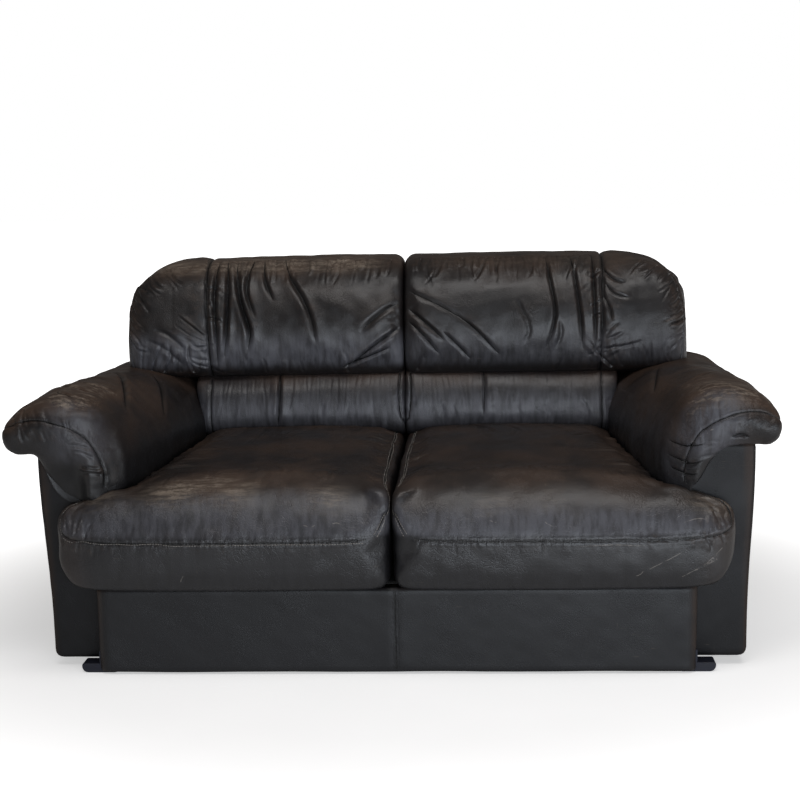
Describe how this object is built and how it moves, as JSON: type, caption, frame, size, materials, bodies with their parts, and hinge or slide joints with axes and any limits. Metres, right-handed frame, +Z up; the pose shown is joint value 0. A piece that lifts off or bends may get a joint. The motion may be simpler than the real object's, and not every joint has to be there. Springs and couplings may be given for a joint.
{
  "type": "two-seat sofa",
  "caption": "Worn black leather sofa with overstuffed rolled arms, gathered headrests, lumbar rolls and soft waterfall seat cushions on low feet.",
  "frame": {"origin": "on the floor, under the middle of the bounding box", "axes": "+X towards the right arm as seen by someone facing the sofa, the front towards -Y, +Z up"},
  "size_m": [1.7, 0.92, 0.876],
  "materials": {
    "worn_leather": "soft black leather, worn brown on the crowns",
    "leather": "flat black leather over board",
    "timber": "rough sawn softwood",
    "fibreboard": "hard fibreboard",
    "spring_steel": "oiled spring wire",
    "webbing": "woven webbing",
    "lining_cloth": "thin non-woven cloth",
    "foot_plastic": "moulded plastic"
  },
  "bodies": {
    "root": {"back_centre_upright": "timber", "back_left_lumbar_rail": "timber", "back_left_upright": "timber", "back_right_lumbar_rail": "timber", "back_right_upright": "timber", "back_strap_1": "webbing", "back_strap_2": "webbing", "back_strap_3": "webbing", "back_strap_4": "webbing", "back_top_rail": "timber", "base_centre_rail": "timber", "base_front_rail": "timber", "base_rear_rail": "timber", "dust_cover": "lining_cloth", "front_apron": "leather", "left_arm_base_rail": "timber", "left_arm_front_panel": "leather", "left_arm_front_post": "timber", "left_arm_inner_panel": "fibreboard", "left_arm_pad": "worn_leather", "left_arm_rear_post": "timber", "left_arm_side_panel": "leather", "left_arm_top_board": "timber", "left_back_side_panel": "leather", "left_front_foot": "foot_plastic", "left_headrest": "worn_leather", "left_lumbar_pad": "worn_leather", "left_rear_foot": "foot_plastic", "left_seat_cushion": "worn_leather", "left_seat_side_rail": "timber", "rear_panel": "leather", "right_arm_base_rail": "timber", "right_arm_front_panel": "leather", "right_arm_front_post": "timber", "right_arm_inner_panel": "fibreboard", "right_arm_pad": "worn_leather", "right_arm_rear_post": "timber", "right_arm_side_panel": "leather", "right_arm_top_board": "timber", "right_back_side_panel": "leather", "right_front_foot": "foot_plastic", "right_headrest": "worn_leather", "right_lumbar_pad": "worn_leather", "right_rear_foot": "foot_plastic", "right_seat_cushion": "worn_leather", "right_seat_side_rail": "timber", "seat_deck_cloth": "webbing", "seat_rear_rail": "timber", "seat_spring_1": "spring_steel", "seat_spring_2": "spring_steel", "seat_spring_3": "spring_steel", "seat_spring_4": "spring_steel", "seat_spring_5": "spring_steel", "seat_spring_6": "spring_steel", "seat_spring_7": "spring_steel", "seat_spring_8": "spring_steel"}
  },
  "joints": []
}
